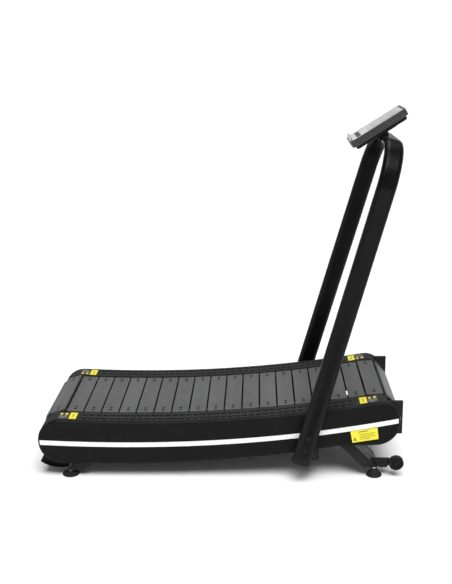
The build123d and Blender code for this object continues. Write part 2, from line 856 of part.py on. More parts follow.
console_up = Axis((console_x, 0, console_z), (-tilt_sin, 0, tilt_cos))
console_along = Axis((console_x, 0, console_z), (tilt_cos, 0, tilt_sin))
face_height = console_thickness / 2
screen_length, screen_width, screen_thickness = 244.0, 176.0, 3.0
screen_centre = 1.0
key_row, key_spacing = -88.0, 46.0
key_length, key_width = 20.0, 34.0
key_ys = (-key_spacing, 0.0, key_spacing)
key_proud, key_body, key_well = 2.0, 6.0, 8.0
ledge_base, ledge_height, ledge_run, ledge_width = 4.0, 21.0, 4.7, 156.0
back_length, back_width, back_depth = 246.0, 170.0, 16.0
housing_layers = ((-15, -7, 0), (-7, -5, 1.5), (-5, 4, 0), (4, 6, 1.5), (6, 15, 0))

with BuildPart() as console_housing:
    for low, high, inset in housing_layers:
        with BuildSketch(console_plane(low)):
            RectangleRounded(console_length - 2 * inset, console_width - 2 * inset, 24 - inset)
        extrude(amount=high - low)
    chamfer(console_housing.faces().sort_by(console_up)[-1].edges(), length=2.5)
    with BuildSketch(console_plane(face_height - screen_thickness)):
        with Locations((screen_centre, 0)):
            RectangleRounded(screen_length, screen_width, 14)
    extrude(amount=screen_thickness, mode=Mode.SUBTRACT)
    with BuildSketch(console_plane(face_height - key_well)):
        with Locations(*[(key_row, y) for y in key_ys]):
            RectangleRounded(key_length, key_width, 6)
    extrude(amount=key_well, mode=Mode.SUBTRACT)
save(console_housing.part, "console_housing")

with BuildPart() as console_screen:
    with BuildSketch(console_plane(face_height - screen_thickness)):
        with Locations((screen_centre, 0)):
            RectangleRounded(screen_length - 0.4, screen_width - 0.4, 13.8)
        with Locations(*[(key_row, y) for y in key_ys]):
            RectangleRounded(key_length, key_width, 6, mode=Mode.SUBTRACT)
    extrude(amount=screen_thickness - 0.3)
save(console_screen.part, "console_screen")

for number, y in enumerate(key_ys, start=1):
    with BuildPart() as key:
        with BuildSketch(console_plane(face_height + key_proud - key_body)):
            with Locations((key_row, y)):
                RectangleRounded(key_length - 0.8, key_width - 0.8, 5.6)
        extrude(amount=key_body)
        fillet(key.faces().sort_by(console_up)[-1].edges(), radius=0.8)
    save(key.part, f"console_key_{number}")

ledge_start = ledge_base - console_length / 2
ledge_shift, ledge_rise = ledge_height * tilt_sin, ledge_height * tilt_cos
with BuildPart() as console_ledge:
    with BuildSketch(console_side(-ledge_width / 2)):
        with BuildLine():
            Polyline(
                (ledge_start, face_height),
                (ledge_start + ledge_run, face_height),
                (ledge_start + ledge_run + ledge_shift, face_height + ledge_rise),
                (ledge_start + ledge_shift, face_height + ledge_rise),
                close=True,
            )
        make_face()
    extrude(amount=ledge_width)
    fillet(console_ledge.edges().filter_by(Axis.Y).sort_by(Axis.Z)[-2:], radius=1.7)
save(console_ledge.part, "console_ledge")

with BuildPart() as console_back:
    with BuildSketch(console_plane(-face_height)):
        RectangleRounded(back_length, back_width, 16)
    extrude(amount=-back_depth)
    chamfer(console_back.faces().sort_by(console_up)[0].edges(), length=3)
save(console_back.part, "console_back")

# A plate under the console, with two cheeks that fit round the top bar.
console_plate, cheek_thickness, cheek_y = 4.5, 6.0, 54.0
bar_offset_x, bar_offset_z = hoop_x(hoop_top_z) - console_x, hoop_top_z - console_z
bar_along = bar_offset_x * tilt_cos + bar_offset_z * tilt_sin
bar_up = bar_offset_z * tilt_cos - bar_offset_x * tilt_sin
plate_low = -face_height - back_depth - console_plate

with BuildPart() as console_bracket:
    with BuildSketch(console_plane(plate_low)):
        with Locations((-4, 0)):
            RectangleRounded(146, 126, 8)
    extrude(amount=console_plate)
    for inner_y in (cheek_y, -cheek_y - cheek_thickness):
        with BuildSketch(console_side(inner_y)):
            with BuildLine():
                Polyline(
                    (bar_along - 40, plate_low),
                    (bar_along + 14, plate_low),
                    (bar_along + 4, bar_up + 12),
                    (bar_along - 34, bar_up + 12),
                    close=True,
                )
            make_face()
            with Locations((bar_along, bar_up)):
                SlotOverall(
                    tube_width, tube_depth, rotation=-hoop_lean - console_tilt, mode=Mode.SUBTRACT
                )
        extrude(amount=cheek_thickness)
save(console_bracket.part, "console_bracket")


# ---- transport wheels ----
bracket_outer_y, bracket_depth, bracket_wall = 303.0, 25.0, 4.0
bracket_top_z, bracket_bottom_z = 72.0, 36.0
axle_r, hub_r, hub_gap = 5.0, 11.0, 0.8
wheel_spot = (wheel_x, wheel_z)
leg_front_x = front_leg_x + leg_run + front_leg_z

with BuildSketch() as bracket_outline:
    with BuildLine():
        Polyline(
            (leg_front_x - bracket_top_z, bracket_top_z),
            (755, bracket_top_z),
            (755, 52),
            (739, bracket_bottom_z),
            (leg_front_x - front_leg_z + 6, bracket_bottom_z),
            (leg_front_x - front_leg_z, front_leg_z),
            close=True,
        )
    make_face()

with BuildPart() as wheel_bracket:
    with BuildSketch(right_plane(bracket_outer_y - bracket_depth)):
        add(bracket_outline.sketch)
    extrude(amount=bracket_depth)
    with BuildSketch(right_plane(bracket_outer_y - bracket_depth)):
        add(bracket_outline.sketch)
        offset(amount=-bracket_wall, mode=Mode.REPLACE)
    extrude(amount=bracket_depth - bracket_wall, mode=Mode.SUBTRACT)
    with BuildSketch(right_plane(bracket_outer_y - bracket_wall)):
        with Locations(wheel_spot):
            Circle(13)
        with Locations((740, 58)):
            Circle(13)
        make_hull()
    extrude(amount=bracket_wall)
    with BuildSketch(right_plane(bracket_outer_y - bracket_depth)):
        with Locations(wheel_spot):
            Circle(axle_r + fit_gap)
    extrude(amount=bracket_depth, mode=Mode.SUBTRACT)
    with BuildSketch(Plane.XY.offset(bracket_bottom_z)):
        with Locations((front_foot_x, -foot_y)):
            Circle(foot_boss_r + 0.4)
    extrude(amount=18, mode=Mode.SUBTRACT)
save_pair(wheel_bracket.part, "wheel_bracket")

wheel_outer_y = wheel_inner_y + wheel_width
hub_inner_y, hub_outer_y = bracket_outer_y + hub_gap, wheel_outer_y + 1
bore_r = axle_r + fit_gap
with BuildPart() as transport_wheel:
    with BuildSketch(Plane(origin=(wheel_x, 0, wheel_z), x_dir=(0, -1, 0), z_dir=(1, 0, 0))):
        with BuildLine():
            Polyline(
                (hub_inner_y, bore_r),
                (hub_inner_y, hub_r),
                (wheel_inner_y + 5, hub_r + 2),
                (wheel_inner_y + 5, wheel_r - 9),
                (wheel_inner_y, wheel_r - 8),
                (wheel_inner_y, wheel_r - 3),
                (wheel_inner_y + 3, wheel_r),
                (wheel_outer_y - 3, wheel_r),
                (wheel_outer_y, wheel_r - 3),
                (wheel_outer_y, wheel_r - 8),
                (wheel_outer_y - 5, wheel_r - 9),
                (wheel_outer_y - 5, hub_r + 2),
                (hub_outer_y, hub_r),
                (hub_outer_y, bore_r),
                close=True,
            )
        make_face()
    revolve(axis=Axis((wheel_x, 0, wheel_z), (0, 1, 0)))
save_pair(transport_wheel.part, "transport_wheel")

bolt_head_r, bolt_head_depth = 8.5, 5.0
with BuildPart() as wheel_axle_bolts:
    with BuildSketch(right_plane(bracket_outer_y - bracket_wall)):
        with Locations(wheel_spot):
            Circle(axle_r)
    extrude(amount=hub_outer_y + hub_gap - bracket_outer_y + bracket_wall)
    with BuildSketch(right_plane(hub_outer_y + hub_gap)):
        with Locations(wheel_spot):
            Circle(bolt_head_r)
    extrude(amount=bolt_head_depth)
    with BuildSketch(right_plane(hub_outer_y + hub_gap + bolt_head_depth - 3)):
        with Locations(wheel_spot):
            RegularPolygon(4, 6)
    extrude(amount=3, mode=Mode.SUBTRACT)
    with BuildSketch(right_plane(bracket_outer_y - bracket_wall - 7)):
        with Locations(wheel_spot):
            RegularPolygon(9, 6)
    extrude(amount=7)
    mirror(about=Plane.XZ)
save(wheel_axle_bolts.part, "wheel_axle_bolts")
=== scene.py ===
"""Looks of a curved manual treadmill: materials, printed trim, studio and camera.

Lengths are in metres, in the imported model's frame: +X is the front, -Y the right-hand side, +Z up.
"""

from math import cos, pi, radians, sin

import bmesh
import bpy
import numpy as np
from mathutils import Matrix, Vector
from mathutils.bvhtree import BVHTree


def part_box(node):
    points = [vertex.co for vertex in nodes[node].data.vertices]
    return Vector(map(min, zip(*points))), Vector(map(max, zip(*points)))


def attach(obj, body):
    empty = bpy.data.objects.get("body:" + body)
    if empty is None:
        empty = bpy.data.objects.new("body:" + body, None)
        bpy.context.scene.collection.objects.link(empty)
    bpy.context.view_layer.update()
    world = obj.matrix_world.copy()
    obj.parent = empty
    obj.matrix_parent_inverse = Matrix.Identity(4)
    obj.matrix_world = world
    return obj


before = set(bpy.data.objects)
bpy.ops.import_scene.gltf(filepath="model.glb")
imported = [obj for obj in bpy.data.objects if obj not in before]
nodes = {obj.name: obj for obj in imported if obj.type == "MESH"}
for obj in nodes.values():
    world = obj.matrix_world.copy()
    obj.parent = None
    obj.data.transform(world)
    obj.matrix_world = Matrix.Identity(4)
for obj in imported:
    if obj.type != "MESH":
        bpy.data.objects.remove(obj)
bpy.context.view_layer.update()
SIDES = (("right", -1), ("left", 1))

# ---- shared measures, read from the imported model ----
cover_low, cover_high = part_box("side_cover_right")

# How far printed films stand off the surface, and how steeply the console's face is tilted.
PRINT_LIFT = 0.0004
CONSOLE_TILT = radians(32)


# ---- node helpers ----
class Shader:
    """One procedural material, built from short calls that each add a node."""

    def __init__(self, name, roughness=0.5, metallic=0.0, specular=0.5, coat=0.0, coat_roughness=0.1):
        self.material = bpy.data.materials.new(name)
        self.material.use_nodes = True
        self.tree = self.material.node_tree
        self.bsdf = self.tree.nodes["Principled BSDF"]
        self.set("Roughness", roughness)
        self.set("Metallic", metallic)
        self.set("Specular IOR Level", specular)
        self.set("Coat Weight", coat)
        self.set("Coat Roughness", coat_roughness)
        self.place = self.add("ShaderNodeTexCoord").outputs["Object"]
        self.last_bump = None

    def add(self, kind, **settings):
        """Add a node, with its plain properties set."""
        node = self.tree.nodes.new(kind)
        for key, value in settings.items():
            setattr(node, key, value)
        return node

    def link(self, source, target):
        """Join two sockets, or put a plain value in the target."""
        if isinstance(source, bpy.types.NodeSocket):
            self.tree.links.new(source, target)
        else:
            target.default_value = source

    def set(self, socket, value):
        """Give one of the shader's own sockets a value or a link."""
        self.link(value, self.bsdf.inputs[socket])

    def math(self, operation, first, second=0.0):
        """One arithmetic step."""
        node = self.add("ShaderNodeMath", operation=operation)
        for socket, value in zip(node.inputs, (first, second)):
            self.link(value, socket)
        return node.outputs[0]

    def axes(self):
        """The three object coordinates, one by one."""
        node = self.add("ShaderNodeSeparateXYZ")
        self.link(self.place, node.inputs[0])
        return node.outputs

    def stretched(self, scale):
        """Object coordinates with each axis scaled by its own amount."""
        node = self.add("ShaderNodeMapping")
        self.link(self.place, node.inputs["Vector"])
        node.inputs["Scale"].default_value = scale
        return node.outputs[0]

    def noise(self, scale, detail=3.0, roughness=0.55, vector=None):
        """Soft noise, from 0 to 1, with features about 1/scale of a metre across."""
        node = self.add("ShaderNodeTexNoise")
        self.link(vector or self.place, node.inputs["Vector"])
        node.inputs["Scale"].default_value = scale
        node.inputs["Detail"].default_value = detail
        node.inputs["Roughness"].default_value = roughness
        return node.outputs["Fac"]

    def cells(self, scale):
        """Distance to the nearest of many scattered points: a pebbled grain."""
        node = self.add("ShaderNodeTexVoronoi")
        self.link(self.place, node.inputs["Vector"])
        node.inputs["Scale"].default_value = scale
        return node.outputs["Distance"]

    def ramp(self, value, low, high, out_low, out_high):
        """Map a value from one range to another, clamped."""
        node = self.add("ShaderNodeMapRange")
        for socket, number in zip(node.inputs, (value, low, high, out_low, out_high)):
            self.link(number, socket)
        return node.outputs[0]

    def mix(self, amount, first, second):
        """Blend two colours."""
        node = self.add("ShaderNodeMix", data_type="RGBA")
        self.link(amount, node.inputs[0])
        for socket, colour in zip(node.inputs[6:8], (first, second)):
            self.link(colour if isinstance(colour, bpy.types.NodeSocket) else (*colour, 1.0), socket)
        return node.outputs[2]

    def bump(self, height, depth, strength=1.0):
        """Raise the surface by a height from 0 to 1, times a depth in metres."""
        node = self.add("ShaderNodeBump")
        node.inputs["Strength"].default_value = strength
        node.inputs["Distance"].default_value = depth
        self.link(height, node.inputs["Height"])
        if self.last_bump:
            self.link(self.last_bump, node.inputs["Normal"])
        self.last_bump = node.outputs[0]
        self.set("Normal", self.last_bump)

    def edges(self, low, high):
        """1 on outer edges and 0 elsewhere, for wear."""
        return self.ramp(self.add("ShaderNodeNewGeometry").outputs["Pointiness"], low, high, 0.0, 1.0)


def dusty(shader, colour, dust, amount):
    """A base colour with a light uneven film of dust, thicker on what faces up."""
    facing = shader.add("ShaderNodeSeparateXYZ")
    shader.link(shader.add("ShaderNodeNewGeometry").outputs["Normal"], facing.inputs[0])
    upward = shader.ramp(facing.outputs[2], 0.0, 1.0, 0.35, 1.0)
    patches = shader.ramp(shader.noise(9.0, 5.0), 0.35, 0.75, 0.0, amount)
    return shader.mix(shader.math("MULTIPLY", patches, upward), colour, dust)


# ---- materials ----
def powder_coat(name, colour, roughness):
    """Black powder-coated steel: orange-peel surface, faint dust and rubbed edges."""
    shader = Shader(name, roughness=roughness, specular=0.1)
    worn = shader.math("MULTIPLY", shader.edges(0.52, 0.62), shader.noise(60.0, 4.0))
    base = dusty(shader, colour, (0.05, 0.05, 0.048), 0.06)
    shader.set("Base Color", shader.mix(shader.math("MULTIPLY", worn, 0.3), base, (0.07, 0.07, 0.073)))
    patches = shader.noise(25.0, 4.0)
    shader.set("Roughness", shader.ramp(patches, 0.3, 0.7, roughness - 0.07, roughness + 0.07))
    shader.bump(shader.noise(900.0, 2.0), 0.00025, 0.35)
    return shader.material


def moulded_plastic(name, colour, roughness):
    """Textured moulded plastic with a fine spark-eroded grain and faint handling marks."""
    shader = Shader(name, roughness=roughness, specular=0.12)
    shader.set("Base Color", dusty(shader, colour, (0.07, 0.07, 0.068), 0.10))
    marks = shader.noise(14.0, 6.0, 0.65)
    shader.set("Roughness", shader.ramp(marks, 0.3, 0.72, roughness - 0.08, roughness + 0.1))
    shader.bump(shader.cells(1400.0), 0.0002, 0.3)
    shader.bump(shader.noise(6.0, 1.0), 0.002, 0.12)
    return shader.material


def rubber(name, colour, roughness=0.75):
    """Plain black rubber with a dusty bloom."""
    shader = Shader(name, roughness=roughness, specular=0.2)
    shader.set("Base Color", dusty(shader, colour, (0.09, 0.088, 0.085), 0.2))
    patches = shader.noise(40.0, 4.0)
    shader.set("Roughness", shader.ramp(patches, 0.3, 0.7, roughness - 0.1, roughness + 0.1))
    shader.bump(shader.noise(700.0, 3.0), 0.0003, 0.4)
    return shader.material


def brushed_metal(name, colour, roughness, stretch):
    """Machined or plated steel with fine marks drawn out along one axis."""
    shader = Shader(name, roughness=roughness, metallic=1.0)
    lines = shader.noise(260.0, 4.0, 0.6, shader.stretched(stretch))
    shade = shader.ramp(lines, 0.3, 0.7, 0.0, 1.0)
    shader.set("Base Color", shader.mix(shade, [0.8 * part for part in colour], colour))
    shader.set("Roughness", shader.ramp(lines, 0.3, 0.7, roughness - 0.08, roughness + 0.1))
    shader.bump(lines, 0.0001, 0.25)
    return shader.material


def cast_metal(name, colour):
    """Cast iron with a coarse skin."""
    shader = Shader(name, roughness=0.6, metallic=0.7)
    patches = shader.ramp(shader.noise(30.0, 5.0), 0.3, 0.7, 0.0, 1.0)
    shader.set("Base Color", shader.mix(patches, colour, [1.6 * part for part in colour]))
    shader.bump(shader.noise(420.0, 4.0), 0.0006, 0.5)
    return shader.material


def slat_rubber():
    """Grey pebbled running surface, scuffed lighter along the runner's lane."""
    shader = Shader("slat_tread", roughness=0.5, specular=0.4)
    x, y, _ = shader.axes()
    lane = shader.ramp(shader.math("ABSOLUTE", y), 0.05, 0.19, 1.0, 0.0)
    scuffs = shader.noise(34.0, 6.0, 0.7, shader.stretched((1.0, 0.45, 1.0)))
    wear = shader.math("MULTIPLY", lane, shader.ramp(scuffs, 0.42, 0.72, 0.0, 0.5))
    batches = shader.noise(6.0, 1.0, 0.5, shader.stretched((2.2, 0.15, 1.0)))
    shade = shader.ramp(batches, 0.3, 0.7, 0.0, 1.0)
    base = shader.mix(shade, (0.084, 0.085, 0.086), (0.106, 0.107, 0.108))
    shader.set("Base Color", shader.mix(wear, base, (0.15, 0.15, 0.15)))
    shader.set("Roughness", shader.ramp(scuffs, 0.3, 0.7, 0.42, 0.56))
    shader.bump(shader.cells(520.0), 0.0005, 0.45)
    return shader.material


# Chevrons on the foot rails. The rows are distances of the chevrons' tips from the middle plane.
CHEVRON_PITCH, CHEVRON_HALF_SPAN, CHEVRON_HALF_LINE = 0.031, 0.0125, 0.0062
CHEVRON_ROWS = (0.268, 0.307)
CHEVRON_START, CHEVRON_END = -0.632, 0.600


def grip_plastic(name, colour, roughness):
    """Foot rail plastic with two rows of chevrons pressed into its top, between the stickers; the pressed
    grooves are painted near black as shade.
    """
    shader = Shader(name, roughness=roughness, specular=0.04)
    x, y, _ = shader.axes()
    along = shader.math("PINGPONG", x, CHEVRON_PITCH / 2)
    from_apex = shader.math("SUBTRACT", CHEVRON_PITCH / 2, along)
    within_span = shader.math("LESS_THAN", from_apex, CHEVRON_HALF_SPAN)
    depth = shader.math("ADD", shader.math("ABSOLUTE", y), from_apex)
    marks = 0.0
    for row in CHEVRON_ROWS:
        off_line = shader.math("ABSOLUTE", shader.math("SUBTRACT", depth, row))
        marks = shader.math("ADD", marks, shader.math("LESS_THAN", off_line, CHEVRON_HALF_LINE))
    marks = shader.math("MULTIPLY", marks, within_span)
    marks = shader.math("MULTIPLY", marks, shader.math("GREATER_THAN", x, CHEVRON_START))
    marks = shader.math("MULTIPLY", marks, shader.math("LESS_THAN", x, CHEVRON_END))
    base = dusty(shader, colour, (0.08, 0.08, 0.078), 0.2)
    # The chevrons' grooves are painted near black: painted shade in the recesses, on top of the bump that
    # presses them in.
    shader.set("Base Color", shader.mix(marks, base, (0.003, 0.003, 0.003)))
    patches = shader.noise(20.0, 5.0)
    shader.set("Roughness", shader.ramp(patches, 0.3, 0.7, roughness - 0.07, roughness + 0.08))
    shader.bump(shader.cells(900.0), 0.0003, 0.4)
    shader.bump(shader.math("SUBTRACT", 1.0, marks), 0.001, 0.8)
    return shader.material


# Distance from one ridge on the console's side to the next.
RIB_PITCH = 0.0095


def ribbed_shell(name, colour):
    """Console housing: charcoal plastic with fine ridges along its sides, the crest of each ridge painted
    lighter as a highlight.
    """
    shader = Shader(name, roughness=0.42, specular=0.5)
    x, _, z = shader.axes()
    rise = shader.math("MULTIPLY", z, cos(CONSOLE_TILT))
    run = shader.math("MULTIPLY", x, sin(CONSOLE_TILT))
    up = shader.math("SUBTRACT", rise, run)
    wave = shader.math("SINE", shader.math("MULTIPLY", up, 2 * pi / RIB_PITCH))
    groove = dusty(shader, colour, (0.2, 0.2, 0.2), 0.1)
    # The crests of the ridges are painted a lighter grey than the plastic: a painted highlight along each
    # ridge.
    crest_highlight = shader.ramp(wave, 0.2, 0.9, 0.0, 1.0)
    shader.set("Base Color", shader.mix(crest_highlight, groove, (0.085, 0.085, 0.088)))
    shader.set("Roughness", shader.ramp(shader.noise(30.0, 4.0), 0.3, 0.7, 0.36, 0.5))
    shader.bump(shader.ramp(wave, -1.0, 1.0, 0.0, 1.0), 0.0004, 0.35)
    shader.bump(shader.cells(1500.0), 0.0001, 0.3)
    return shader.material


def face_panel(name, colour):
    """Glossy membrane over the console's face, with fingerprints in its gloss."""
    shader = Shader(name, roughness=0.14, specular=0.6, coat=1.0, coat_roughness=0.05)
    smears = shader.noise(35.0, 6.0, 0.7)
    fade = shader.ramp(smears, 0.3, 0.7, 0.0, 1.0)
    shader.set("Base Color", shader.mix(fade, colour, [0.84 * part for part in colour]))
    shader.set("Roughness", shader.ramp(smears, 0.35, 0.7, 0.1, 0.26))
    shader.bump(shader.noise(250.0, 2.0), 0.00002, 0.2)
    return shader.material


def milky_plastic(name):
    """Translucent ledge of frosted plastic."""
    shader = Shader(name, roughness=0.3, specular=0.5)
    cloud = shader.noise(45.0, 4.0)
    shade = shader.ramp(cloud, 0.3, 0.7, 0.0, 1.0)
    shader.set("Base Color", shader.mix(shade, (0.42, 0.43, 0.44), (0.55, 0.56, 0.57)))
    shader.set("Transmission Weight", 0.35)
    shader.set("Roughness", shader.ramp(cloud, 0.3, 0.7, 0.25, 0.4))
    shader.bump(shader.noise(500.0, 2.0), 0.0001, 0.3)
    return shader.material


def printed_vinyl(name, colour, roughness=0.35):
    """Printed sticker film: slight ink mottling and a faintly uneven gloss."""
    shader = Shader(name, roughness=roughness, specular=0.5)
    mottle = shader.ramp(shader.noise(120.0, 4.0), 0.3, 0.7, 0.0, 1.0)
    shader.set("Base Color", shader.mix(mottle, colour, [0.93 * part for part in colour]))
    patches = shader.noise(30.0, 4.0)
    shader.set("Roughness", shader.ramp(patches, 0.3, 0.7, roughness - 0.08, roughness + 0.1))
    shader.bump(shader.noise(600.0, 2.0), 0.00005, 0.3)
    return shader.material


BLACK_PAINT = powder_coat("frame_paint", (0.009, 0.009, 0.0092), 0.44)
HOOP_PAINT = powder_coat("hoop_paint", (0.0018, 0.0018, 0.0019), 0.34)
COVER_PLASTIC = moulded_plastic("cover_plastic", (0.0042, 0.0042, 0.0044), 0.5)
RAIL_PLASTIC = grip_plastic("rail_plastic", (0.034, 0.034, 0.0345), 0.85)
BLACK_RUBBER = rubber("black_rubber", (0.008, 0.008, 0.008))
SLAT_RUBBER = slat_rubber()
DARK_STEEL = brushed_metal("dark_steel", (0.008, 0.008, 0.0085), 0.5, (1.0, 1.0, 1.0))
BOLT_STEEL = brushed_metal("bolt_steel", (0.030, 0.030, 0.032), 0.3, (1.0, 1.0, 1.0))
BRIGHT_STEEL = brushed_metal("bright_steel", (0.62, 0.62, 0.64), 0.24, (1.0, 12.0, 1.0))
CAST_IRON = cast_metal("cast_iron", (0.06, 0.06, 0.063))
BEARING_PLASTIC = moulded_plastic("bearing_plastic", (0.045, 0.045, 0.047), 0.4)
SHELL_PLASTIC = ribbed_shell("shell_plastic", (0.012, 0.012, 0.0125))
BACK_PLASTIC = moulded_plastic("back_plastic", (0.014, 0.014, 0.015), 0.5)
# The face's pale grey is partly painted reflection: its base colour is lifted to stand in for the bright
# studio mirrored in the glossy face.
FACE_PANEL_WITH_PAINTED_REFLECTION = face_panel("face_panel", (0.36, 0.36, 0.365))
DISPLAY_FILM = face_panel("display_film", (0.15, 0.16, 0.155))
DISPLAY_BARS = face_panel("display_bars", (0.07, 0.075, 0.073))
KEY_RUBBER = rubber("key_rubber", (0.09, 0.09, 0.095), 0.55)
MILKY_PLASTIC = milky_plastic("milky_plastic")
WHITE_VINYL = printed_vinyl("white_vinyl", (0.93, 0.93, 0.93))
YELLOW_VINYL = printed_vinyl("yellow_vinyl", (0.88, 0.80, 0.02))
DARK_VINYL = printed_vinyl("dark_vinyl", (0.035, 0.035, 0.035))
PALE_INK = printed_vinyl("pale_ink", (0.36, 0.36, 0.36))
INK_VINYL = printed_vinyl("ink_vinyl", (0.16, 0.14, 0.03))

# The belly pan is a black sheet under the slats that keeps the gaps between slats dark: it stands in for the
# shade there, painted like the frame.
NODE_MATERIALS = (
    (BLACK_PAINT, ("side_beam", "front_leg", "rear_leg", "cross_members", "hoop_cross_tube", "hoop_plate",
                   "track_rail", "wheel_bracket", "console_bracket", "rear_guard", "belly_pan")),
    (HOOP_PAINT, ("upright_right", "upright_left", "top_bar")),
    (COVER_PLASTIC, ("side_cover",)),
    (RAIL_PLASTIC, ("foot_rail",)),
    (BLACK_RUBBER, ("upright_cap", "front_foot_pad", "rear_foot_pad", "drive_belt", "transport_wheel")),
    (SLAT_RUBBER, ("belt_slats",)),
    (DARK_STEEL, ("slat_screws", "track_studs")),
    (BOLT_STEEL, ("upright_bolts", "wheel_axle_bolts")),
    (BRIGHT_STEEL, ("front_roller", "rear_roller", "front_foot_stud", "rear_foot_stud", "foot_lock_nuts")),
    (CAST_IRON, ("front_pulleys", "rear_pulleys", "front_drum_bearings", "rear_drum_bearings")),
    (BEARING_PLASTIC, ("track_bearings",)),
    (SHELL_PLASTIC, ("console_housing",)),
    (BACK_PLASTIC, ("console_back",)),
    (FACE_PANEL_WITH_PAINTED_REFLECTION, ("console_screen",)),
    (KEY_RUBBER, ("console_key",)),
    (MILKY_PLASTIC, ("console_ledge",)),
)
for material, prefixes in NODE_MATERIALS:
    for node_name, node in nodes.items():
        if node_name.startswith(prefixes):
            node.data.materials.clear()
            node.data.materials.append(material)


# ---- printed trim ----
surfaces = {}


def surface(node_name):
    """A node's mesh, ready for finding the point under or beside a place."""
    if node_name not in surfaces:
        bm = bmesh.new()
        bm.from_mesh(nodes[node_name].data)
        surfaces[node_name] = BVHTree.FromBMesh(bm)
        bm.free()
    return surfaces[node_name]


def draped(name, node_name, grid, start, direction, material):
    """A thin film laid on a node: each point of the grid is dropped along direction onto the surface."""
    direction = Vector(direction)
    tree = surface(node_name)
    rows, columns = len(grid), len(grid[0])
    bm = bmesh.new()
    verts = []
    for row in grid:
        for point in row:
            hit, normal, _, _ = tree.ray_cast(Vector(start(point)), direction)
            verts.append(bm.verts.new(hit + normal * PRINT_LIFT))
    for i in range(rows - 1):
        for j in range(columns - 1):
            a, b = i * columns + j, i * columns + j + 1
            bm.faces.new((verts[a], verts[b], verts[b + columns], verts[a + columns]))
    bmesh.ops.recalc_face_normals(bm, faces=bm.faces)
    mesh = bpy.data.meshes.new(name)
    bm.to_mesh(mesh)
    bm.free()
    if mesh.polygons[0].normal.dot(direction) > 0:
        mesh.flip_normals()
    mesh.materials.append(material)
    mesh.shade_smooth()
    film = bpy.data.objects.new(name, mesh)
    bpy.context.scene.collection.objects.link(film)
    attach(film, "frame")
    return film


def quad_grid(corners, rows, columns):
    """Points spread evenly over a four-sided patch, its corners given in order round it."""
    a, b, c, d = (np.array(corner) for corner in corners)
    grid = []
    for v in np.linspace(0, 1, rows):
        left, right = a + (d - a) * v, b + (c - b) * v
        grid.append([tuple(left + (right - left) * u) for u in np.linspace(0, 1, columns)])
    return grid


def rectangle(along, across):
    """The corners of a rectangle, from its range in each direction."""
    return (along[0], across[0]), (along[1], across[0]), (along[1], across[1]), (along[0], across[1])


# Rays start this far from the middle plane or above the floor, clear of every piece they are aimed at.
RAY_START = 0.5


def beside(side):
    """Rays start outside a cover, at a point given as (x, z)."""
    return lambda point: (point[0], side * RAY_START, point[1])


def above(side):
    """Rays start above a rail, at a point given as (x, distance from the middle plane)."""
    return lambda point: (point[0], side * point[1], RAY_START)


# The stripe's middle line, fitted through a few points, and its height.
STRIPE_X = (-0.812, -0.600, -0.241, 0.091, 0.494, 0.790)
STRIPE_Z = (0.1675, 0.1600, 0.1590, 0.1780, 0.2230, 0.2750)
STRIPE_HEIGHT = 0.022
STRIPE_COLUMNS, STRIPE_ROWS = 160, 4
stripe_line = np.polyfit(STRIPE_X, STRIPE_Z, 4)

# A ray that goes farther than this has missed the cover's outer wall.
COVER_REACH = 0.18
END_HALVINGS = 16


def stripe_end(cover, side, offset, outside):
    """The farthest x, from the middle towards outside, where the stripe's line still meets the cover."""
    inside = 0.0
    for _ in range(END_HALVINGS):
        x = (inside + outside) / 2
        start = Vector((x, side * RAY_START, np.polyval(stripe_line, x) + offset))
        hit = surface(cover).ray_cast(start, Vector((0, -side, 0)), COVER_REACH)[0]
        inside, outside = (x, outside) if hit else (inside, x)
    return inside


for side_name, side in SIDES:
    cover = f"side_cover_{side_name}"
    grid = []
    for offset in np.linspace(-STRIPE_HEIGHT / 2, STRIPE_HEIGHT / 2, STRIPE_ROWS):
        ends = [stripe_end(cover, side, offset, outside) for outside in (cover_low.x, cover_high.x)]
        grid.append([(x, np.polyval(stripe_line, x) + offset) for x in np.linspace(*ends, STRIPE_COLUMNS)])
    draped(f"stripe_{side_name}", cover, grid, beside(side), (0, -side, 0), WHITE_VINYL)

# Cover sticker, with plain marks where a real one carries print.
STICKER = ((0.573, 0.223), (0.6905, 0.242), (0.697, 0.188), (0.583, 0.170))


def on_sticker(u, v):
    """A place on the cover sticker, from its top left corner."""
    a, b, c, d = (np.array(corner) for corner in STICKER)
    top, bottom = a + (b - a) * u, d + (c - d) * u
    return tuple(top + (bottom - top) * v)


def sticker_patch(u0, u1, v0, v1):
    """The corners of a smaller patch on the cover sticker."""
    return on_sticker(u0, v0), on_sticker(u1, v0), on_sticker(u1, v1), on_sticker(u0, v1)


# Marks on it: start and end across, then start and end down, as shares of its size.
PRINT_MARKS = (
    (0.28, 0.66, 0.12, 0.19),
    (0.30, 0.90, 0.36, 0.40),
    (0.30, 0.86, 0.50, 0.54),
    (0.30, 0.92, 0.64, 0.68),
    (0.30, 0.70, 0.78, 0.82),
    (0.09, 0.15, 0.60, 0.80),
    (0.05, 0.19, 0.80, 0.86),
)
for side_name, side in SIDES:
    cover = f"side_cover_{side_name}"
    start, inward = beside(side), (0, -side, 0)
    draped(f"cover_sticker_{side_name}", cover, quad_grid(STICKER, 6, 10), start, inward,
           YELLOW_VINYL)
    for number, mark in enumerate(PRINT_MARKS, start=1):
        patch = quad_grid(sticker_patch(*mark), 2, 4)
        film = draped(f"cover_sticker_mark_{number}_{side_name}", cover, patch, start, inward,
                      INK_VINYL)
        film.data.transform(Matrix.Translation((0, side * PRINT_LIFT / 2, 0)))

# Rail stickers: a yellow patch and a dark one with small marks, at both ends of both rails.
RAIL_PATCHES = (
    ("front_yellow", 0.616, 0.647, YELLOW_VINYL),
    ("front_dark", 0.650, 0.695, DARK_VINYL),
    ("rear_yellow", -0.674, -0.642, YELLOW_VINYL),
    ("rear_dark", -0.722, -0.678, DARK_VINYL),
)
